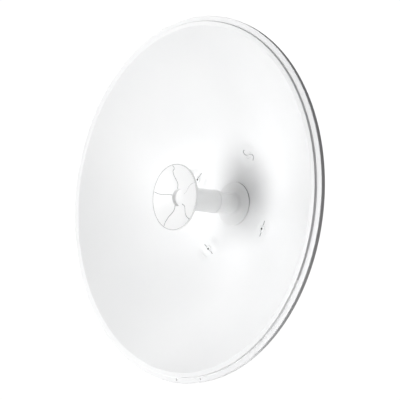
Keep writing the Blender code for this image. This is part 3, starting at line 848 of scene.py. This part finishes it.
zinc_plate = new_mottle(
    "zinc_plate", (0.70, 0.71, 0.72), (0.58, 0.59, 0.60), (260.0, 3.0), (700.0, 2.0, 0.24, 0.40),
    (2500.0, 2.0, 0.00003, 0.5), metallic=1.0)
# Painted shade: near black for the inside of the sockets.
socket_shade = new_mottle(
    "socket_shade", (0.05, 0.05, 0.05), (0.09, 0.09, 0.09), (800.0, 2.0), (1200.0, 1.0, 0.45, 0.65),
    metallic=0.6)


def cut_line(face, reach):
    """Whether a face is the wall of a line cut in a head: it is steeper than the low dome around it."""
    on_dome = socket_reach < reach < button_radius - 0.0006
    return on_dome and face.normal.y > dome_slope and face.center.y < front_plane + seat_depth - 0.0004


for number, ((x, z), path) in enumerate(zip(bolt_places, crease_paths), start=1):
    bolt = copy_piece(button, f"button_{number}", (x, 0, z))
    middle = Vector((x, 0, z))
    along = Vector((-z, 0, x))
    for side in (-1, 1):
        line = []
        for point in path:
            reach = math.dist((point.x, point.z), (x, z))
            if 0.0018 < reach < button_radius - 0.0004 and side * (point - middle).dot(along) > 0:
                line.append(bolt.ray_cast((point.x, -1.0, point.z), (0, 1, 0))[1])
        if len(line) > 2:
            cut_away(bolt, [groove_tool(line, crease_radius * 0.8)])
    finish_piece(bolt, powder_coat, [f"dish_bolt_{number}"], turned_angle)
    for material in (socket_shade, zinc_plate, crease_shade):
        bolt.data.materials.append(material)
    # Sockets other than the first get the sockets' painted shade, and the creases on the heads get the
    # creases' painted shade.
    for face in bolt.data.polygons:
        depth = face.center.y - front_plane
        reach = math.dist((face.center.x, face.center.z), (x, z))
        if depth > seat_depth:
            face.material_index = 2
        elif number > 1 and depth > button_top + 0.0002 and reach < socket_reach:
            face.material_index = 1
        elif face.area < head_face_area and cut_line(face, reach):
            face.material_index = 3
    for pattern, node in ((spacer, "dish_spacer"), (nut, "dish_nut")):
        piece = copy_piece(pattern, f"{pattern.name}_{number}", (x, 0, z))
        finish_piece(piece, zinc_plate, [f"{node}_{number}"], turned_angle)
for pattern in (button, spacer, nut):
    bpy.data.objects.remove(pattern)

# Back plate: a square of 3 mm steel with round corners behind the reflector, bored for the feed seat and the
# four bolts. It is cut, welded to its ears and then hot-dip galvanised, which leaves a faint spangle.
plate_side = 0.190
plate_corner = 0.022
plate_angle = 20.0


def block(name, size, centre):
    """Plain box about its centre."""
    bpy.ops.mesh.primitive_cube_add(size=1.0, location=centre)
    piece = bpy.context.object
    piece.name = name
    piece.scale = size
    bpy.ops.object.transform_apply()
    return piece


def round_corners(piece, radius, wanted):
    """Round those edges of a block whose two ends pass a test."""
    mesh = piece.data
    for edge in mesh.edges:
        edge.select = wanted(*(mesh.vertices[index].co for index in edge.vertices))
    deselect(mesh.polygons)
    bpy.context.tool_settings.mesh_select_mode = (False, True, False)
    bpy.ops.object.mode_set(mode="EDIT")
    bpy.ops.mesh.bevel(offset=radius, offset_type="OFFSET", segments=10, affect="EDGES")
    bpy.ops.object.mode_set(mode="OBJECT")


def steel_plate(name, width, height, corner, front, back):
    """Flat plate square to the beam, with round corners."""
    piece = block(name, (width, back - front, height), (0, front_plane + (front + back) / 2, 0))
    round_corners(piece, corner, lambda start, end: abs(start.y - end.y) > 1e-5)
    return piece


def soften_edges(piece, width, angle=40.0):
    """Round every sharp edge a little."""
    pick(piece)
    soften = piece.modifiers.new("soften", "BEVEL")
    soften.width = width
    soften.segments = 2
    soften.limit_method = "ANGLE"
    soften.angle_limit = math.radians(angle)
    bpy.ops.object.modifier_apply(modifier=soften.name)


back_plate = steel_plate("back_plate_skin", plate_side, plate_side, plate_corner, plate_front, plate_back)
plate_holes = [drill(hub_hole, 0, 0, plate_front - 0.002, plate_back + 0.002, 96)]
plate_holes += [drill(bolt_hole, x, z, plate_front - 0.002, plate_back + 0.002) for x, z in bolt_places]
cut_away(back_plate, plate_holes)
soften_edges(back_plate, 0.0004)

galvanised, tree, shader, place = new_finish("galvanised", 0.45)
spangle = tree.nodes.new("ShaderNodeTexVoronoi")
spangle.inputs["Scale"].default_value = 95.0
spangle.inputs["Randomness"].default_value = 1.0
tree.links.new(place, spangle.inputs["Vector"])
grey = tree.nodes.new("ShaderNodeRGBToBW")
tree.links.new(spangle.outputs["Color"], grey.inputs["Color"])
crystal = spread(tree, grey.outputs["Val"], 0.0, 1.0, 0.2, 0.8)
tree.links.new(tint(tree, crystal, (0.60, 0.62, 0.64), (0.74, 0.76, 0.77)), shader.inputs["Base Color"])
cloudy = noise_value(tree, place, 45.0, 4.0)
rough = math_node(tree, "MULTIPLY_ADD", crystal, 0.16, spread(tree, cloudy, 0.34, 0.46))
tree.links.new(rough.outputs["Value"], shader.inputs["Roughness"])
pits = raise_surface(tree, noise_value(tree, place, 900.0, 3.0), 0.00006, 0.5)
tree.links.new(raise_surface(tree, crystal, 0.00005, 0.25, pits), shader.inputs["Normal"])
finish_piece(back_plate, galvanised, ["back_plate"], plate_angle)

# Feed body: a cast aluminium housing bolted to the back plate over the foot of the feed. Twelve ribs stiffen
# its side, and its closed end is sunk a little inside a raised rim. Four small screws hold its flange.
body_start = 0.15986
flange_end = 0.16586
body_end = 0.20186
rib_count = 12
rib_width = 0.0030
rib_height = 0.0060
rib_middle = 0.0290
screw_radius = 0.0026
screw_circle = 0.0358
body_corners = [
    (0.0, body_start, 0),
    (0.040, body_start, 0.0005),
    (0.040, flange_end, 0.0012),
    (0.0300, flange_end, 0.0015),
    (0.0293, body_end, 0.0030),
    (0.0240, body_end, 0.0004),
    (0.0235, body_end - 0.0012, 0.0003),
    (0.0, body_end - 0.0012, 0),
]
feed_body = spin_outline("feed_body_skin", body_corners, 144)


def soft_block(size, centre, spin=0.0):
    """Block with softened edges, turned about the beam axis."""
    piece = block("soft_block", size, centre)
    soften_edges(piece, min(size) * 0.3)
    piece.rotation_euler = (0, spin, 0)
    bpy.ops.object.transform_apply(location=False, rotation=True, scale=False)
    return piece


rib_length = body_end - flange_end - 0.0015
rib_centre = front_plane + flange_end + rib_length / 2 - 0.0005
for turn in range(rib_count):
    spin = 2 * math.pi * (turn + 0.5) / rib_count
    rib = soft_block((rib_width, rib_length, rib_height), (0, rib_centre, rib_middle), spin)
    combine(feed_body, "UNION", rib)

cast_aluminium = new_mottle(
    "cast_aluminium", (0.66, 0.67, 0.68), (0.55, 0.56, 0.57), (70.0, 4.0), (300.0, 2.0, 0.40, 0.56),
    (1300.0, 3.0, 0.00012, 0.6), metallic=0.75)
finish_piece(feed_body, cast_aluminium, ["feed_body"], 30.0)

screw_corners = [
    (0.0, flange_end - 0.0004, 0),
    (screw_radius, flange_end - 0.0004, 0),
    (screw_radius, flange_end + 0.0018, 0.0004),
    (0.0014, flange_end + 0.0024, 0.0004),
    (0.0, flange_end + 0.0024, 0),
]
screw = spin_outline("body_screw", screw_corners, 32, 3)
cut_away(screw, [drill(0.00145, 0, 0, flange_end + 0.0010, flange_end + 0.004, 6)])
for number in range(4):
    angle = math.radians(45 + 90 * number)
    seat = (screw_circle * math.cos(angle), 0, screw_circle * math.sin(angle))
    piece = copy_piece(screw, f"body_screw_{number + 1}", seat)
    finish_piece(piece, zinc_plate, [], turned_angle)
bpy.data.objects.remove(screw)

# Signal ports: two threaded coaxial sockets in nickel-plated brass on the feed body's closed end, one for
# each polarisation. Each is screwed in by a hexagon and closed by a knurled black plastic cap.
port_start = 0.20216
port_end = 0.21716
port_spacing = 0.034
port_corner = 0.0062
port_radius = 0.0040
port_pitch = 0.0009
port_flange = hexagon("port", port_corner, port_start - 0.0012, port_start + 0.003, False, True)
thread = [(radius, port_start + depth, 0)
          for radius, depth in ((0.0, 0.002), (port_radius, 0.002), (port_radius, 0.004))]
thread += thread_corners(port_radius, port_start + 0.0045, port_end, port_pitch)
thread += [(0.0, port_end, 0)]
combine(port_flange, "UNION", spin_outline("port_thread", thread, 48))

nickel = new_mottle(
    "nickel_brass", (0.74, 0.68, 0.50), (0.66, 0.58, 0.38), (500.0, 3.0), (900.0, 2.0, 0.20, 0.34),
    (3000.0, 1.0, 0.00002, 0.5), metallic=1.0)

cap_start = 0.20896
cap_end = 0.21866
cap_outer = 0.0055
cap_inner = 0.0043
grip_count = 20
dust_cap_corners = [
    (cap_inner, cap_start, 0.0002),
    (cap_outer, cap_start, 0.0003),
    (cap_outer, cap_start + 0.0010, 0),
    (cap_outer - 0.0004, cap_start + 0.0012, 0),
    (cap_outer - 0.0004, cap_end - 0.0012, 0),
    (cap_outer - 0.0002, cap_end - 0.0010, 0),
    (cap_outer - 0.0002, cap_end, 0.0007),
    (0.0, cap_end, 0),
    (0.0, port_end + 0.0003, 0),
    (cap_inner, port_end + 0.0003, 0),
]
dust_cap = spin_outline("dust_cap", dust_cap_corners, 96, 3)
grip_length = cap_end - cap_start - 0.0026
grip_centre = front_plane + (cap_start + cap_end) / 2
for turn in range(grip_count):
    spin = 2 * math.pi * turn / grip_count
    grip = soft_block((0.0007, grip_length, 0.0008), (0, grip_centre, cap_outer - 0.0004), spin)
    combine(dust_cap, "UNION", grip)

black_cap = new_mottle(
    "black_plastic", (0.022, 0.022, 0.023), (0.040, 0.040, 0.041), (350.0, 4.0), (600.0, 2.0, 0.42, 0.60),
    (2200.0, 2.0, 0.00003, 0.6))

for side, x in (("left", -port_spacing / 2), ("right", port_spacing / 2)):
    socket = copy_piece(port_flange, f"port_{side}", (x, 0, 0))
    finish_piece(socket, nickel, [f"signal_port_{side}"], turned_angle)
    cover = copy_piece(dust_cap, f"dust_cap_{side}", (x, 0, 0))
    finish_piece(cover, black_cap, [f"port_cap_{side}"], turned_angle)
bpy.data.objects.remove(port_flange)
bpy.data.objects.remove(dust_cap)

# Bracket ears: two 4 mm steel ears stand on the back plate and two on the mast plate, inside the first pair.
# The outer ears have a curved slot to set the tilt, the inner ones a round hole. All are galvanised.
pivot_depth = 0.21956
pivot_height = 0.022
lock_height = -0.024
ear_thickness = 0.004
ear_half_height = 0.042
ear_corner = 0.014
outer_ear_inside = 0.056
inner_ear_inside = 0.0517
lock_radius = 0.0044
pivot_hole = 0.0054
lock_swing = math.radians(20.0)
slot_steps = 14
outer_ear_tip = 0.24956
inner_ear_root = 0.27926
inner_ear_tip = 0.18956


def ear_blank(name, inside, root, tip):
    """Ear across X from its inner face, square at its root and round at the two corners of its tip."""
    size = (ear_thickness, abs(tip - root), 2 * ear_half_height)
    piece = block(name, size, (inside + ear_thickness / 2, front_plane + (root + tip) / 2, 0))

    def at_tip(start, end):
        return abs(start.x - end.x) > 1e-5 and abs(start.y - front_plane - tip) < 1e-5

    round_corners(piece, ear_corner, at_tip)
    return piece


def cross_hole(radius, depth, height, inside, sides=48):
    """Tool for a round hole across X through an ear."""
    centre = (inside + ear_thickness / 2, front_plane + depth, height)
    return rod(radius, 3 * ear_thickness, centre, (0, math.pi / 2, 0), sides)


outer_ear = ear_blank("dish_ear_skin_right", outer_ear_inside, body_start, outer_ear_tip)
slot_reach = pivot_height - lock_height
for step in range(slot_steps + 1):
    swing = lock_swing * (2 * step / slot_steps - 1)
    depth = pivot_depth + slot_reach * math.sin(swing)
    height = pivot_height - slot_reach * math.cos(swing)
    cut_away(outer_ear, [cross_hole(lock_radius, depth, height, outer_ear_inside, 32)])
cut_away(outer_ear, [cross_hole(pivot_hole, pivot_depth, pivot_height, outer_ear_inside)])
inner_ear = ear_blank("mast_ear_skin_right", inner_ear_inside, inner_ear_root, inner_ear_tip)
cut_away(inner_ear, [cross_hole(pivot_hole, pivot_depth, pivot_height, inner_ear_inside)])
cut_away(inner_ear, [cross_hole(lock_radius, pivot_depth, lock_height, inner_ear_inside)])
ears = ((outer_ear, "dish_ear", outer_ear_inside), (inner_ear, "mast_ear", inner_ear_inside))
for ear, node, inside in ears:
    soften_edges(ear, 0.0004, 50.0)
    twin = copy_piece(ear, f"{node}_skin_left", (-2 * inside - ear_thickness, 0, 0))
    finish_piece(ear, galvanised, [f"{node}_right"], plate_angle)
    finish_piece(twin, galvanised, [f"{node}_left"], plate_angle)

# Weld beads: each ear is joined to its plate by a fillet weld along both sides, laid in short steps and
# galvanised with the rest.
bead_half_length = 0.038
bead_radius = 0.0022
bead_nose = 0.0012
ripple = 0.0019
ripple_shape = ((0.0, 0.86), (0.35, 1.0), (0.7, 0.97))
bead_pattern = []
for number in range(int(2 * bead_half_length / ripple)):
    low = -bead_half_length + ripple * number
    for share, width in ripple_shape:
        bead_pattern.append((bead_radius * width, low + ripple * share))
bead_pattern.append((bead_radius * 0.86, bead_half_length))
last_radius = bead_radius * 0.3
last_place = -bead_half_length - bead_nose
bpy.ops.mesh.primitive_circle_add(
    vertices=14, radius=last_radius, fill_type="NGON", location=(0, 0, last_place))
bead = bpy.context.object
bead.name = "weld_bead"
bpy.ops.object.transform_apply()
bpy.context.tool_settings.mesh_select_mode = (False, False, True)
bpy.ops.object.mode_set(mode="EDIT")
bpy.ops.mesh.select_all(action="SELECT")
for radius, along in bead_pattern + [(last_radius, -last_place)]:
    bpy.ops.mesh.extrude_region_move(TRANSFORM_OT_translate={"value": (0, 0, along - last_place)})
    grow = radius / last_radius
    bpy.ops.transform.resize(value=(grow, grow, 1), center_override=(0, 0, along))
    last_radius, last_place = radius, along
bpy.ops.mesh.select_all(action="SELECT")
bpy.ops.mesh.normals_make_consistent(inside=False)
bpy.ops.object.mode_set(mode="OBJECT")

mast_plate_front = 0.27956
beads = {
    "dish": (outer_ear_inside, body_start + 0.0002),
    "mast": (inner_ear_inside, mast_plate_front - 0.0005),
}
for use, (inside, depth) in beads.items():
    for side, sign in (("left", -1), ("right", 1)):
        for face, x in (("inside", inside - 0.0001), ("outside", inside + ear_thickness + 0.0001)):
            piece = copy_piece(bead, f"weld_{use}_{side}_{face}", (sign * x, front_plane + depth, 0))
            finish_piece(piece, galvanised, [], 60.0)
bpy.data.objects.remove(bead)

# Bracket bolts: on each side an M10 bolt to pivot on and an M8 bolt in the slot to lock the tilt, with their
# heads outside and their nuts inside. They are rolled, threaded and zinc plated.
head_outside = 0.0603
head_height = 0.0060
bolt_end = 0.0416
nut_inside = 0.0446
bolt_sizes = {
    "pivot": (0.0098, 0.005, pivot_height, 0.0015),
    "lock": (0.0075, 0.004, lock_height, 0.00125),
}
for use, (corner, radius, height, pitch) in bolt_sizes.items():
    start = -front_plane
    end = start - (head_outside - bolt_end)
    head = hexagon(f"{use}_bolt", corner, start, start + head_height, False, True)
    shank = [(0.0, start + 0.001, 0), (radius, start + 0.001, 0), (radius, start - 0.0075, 0)]
    shank += thread_corners(radius, start - 0.0080, end + 0.0008, pitch)
    shank += [(radius - 0.0012, end, 0), (0.0, end, 0)]
    combine(head, "UNION", spin_outline("shank", shank, 48))
    bracket_nut = hex_nut(f"{use}_nut", corner, radius, start, 0.0010)
    for side, sign in (("left", -1), ("right", 1)):
        turn = (0, 0, -sign * math.pi / 2)
        for pattern, kind, out in ((head, "bolt", head_outside), (bracket_nut, "nut", nut_inside)):
            place = (sign * out, front_plane + pivot_depth, height)
            piece = copy_piece(pattern, f"{use}_{kind}_skin_{side}", place, turn)
            finish_piece(piece, zinc_plate, [f"{use}_{kind}_{side}"], turned_angle)
    for pattern in (head, bracket_nut):
        bpy.data.objects.remove(pattern)

# Mast plate: 5 mm steel with round corners and four level slots, for bolts into a wall or the legs of two
# U-bolts round a mast. It is galvanised with its ears.
mast_plate_width = 0.150
mast_plate_height = 0.170
mast_plate_corner = 0.012
slot_length = 0.026
slot_width = 0.0105
slot_places = (0.052, 0.062)
mast_plate = steel_plate(
    "mast_plate_skin", mast_plate_width, mast_plate_height, mast_plate_corner, mast_plate_front, -front_plane)
slot_half = (slot_length - slot_width) / 2
for x in (-slot_places[0], slot_places[0]):
    for z in (-slot_places[1], slot_places[1]):
        cut_away(mast_plate, [soft_block((2 * slot_half, 0.02, slot_width), (x, 0, z))])
        for end in (x - slot_half, x + slot_half):
            tool = drill(slot_width / 2, end, z, mast_plate_front - 0.005, -front_plane + 0.005)
            cut_away(mast_plate, [tool])
soften_edges(mast_plate, 0.0005)
finish_piece(mast_plate, galvanised, ["mast_plate"], plate_angle)
